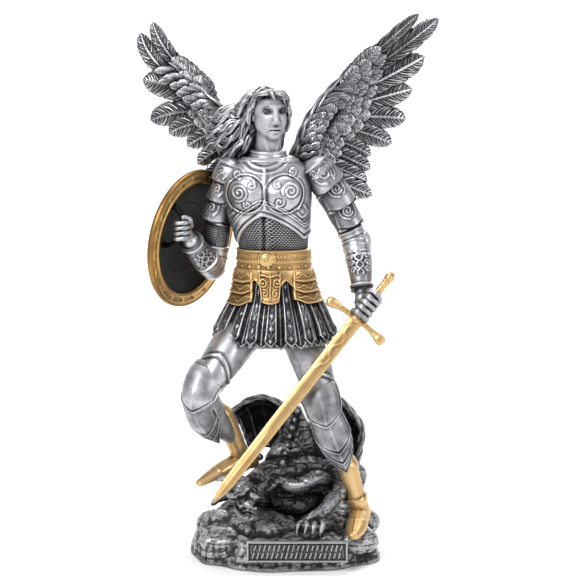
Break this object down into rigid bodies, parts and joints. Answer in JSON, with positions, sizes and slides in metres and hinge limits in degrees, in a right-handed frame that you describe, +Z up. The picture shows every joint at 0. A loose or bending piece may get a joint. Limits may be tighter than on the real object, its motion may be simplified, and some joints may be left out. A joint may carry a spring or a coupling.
{
  "type": "archangel statue",
  "caption": "Antique silver and gold statuette of a winged archangel in armour with shield and sword, standing on a demon on a rock.",
  "frame": {"origin": "middle of the rock's flat underside", "axes": "+Z up along the statue's height, -Y the way its chest faces, +X to its left hand"},
  "size_m": [0.1938, 0.0996, 0.3458],
  "materials": {
    "antique_silver": "cold-cast resin, rubbed antique silver with black in the hollows",
    "dark_rock": "cold-cast resin, blackened pewter with rubbed silver ridges",
    "warm_gold": "hand-painted satin gold",
    "shield_bronze": "aged gold rim round a nearly black field"
  },
  "bodies": {
    "root": {"rock_base_with_demon": "dark_rock", "archangel_figure": "antique_silver", "right_wing": "antique_silver", "left_wing": "antique_silver", "round_shield": "shield_bronze", "sword": "warm_gold"}
  },
  "joints": []
}
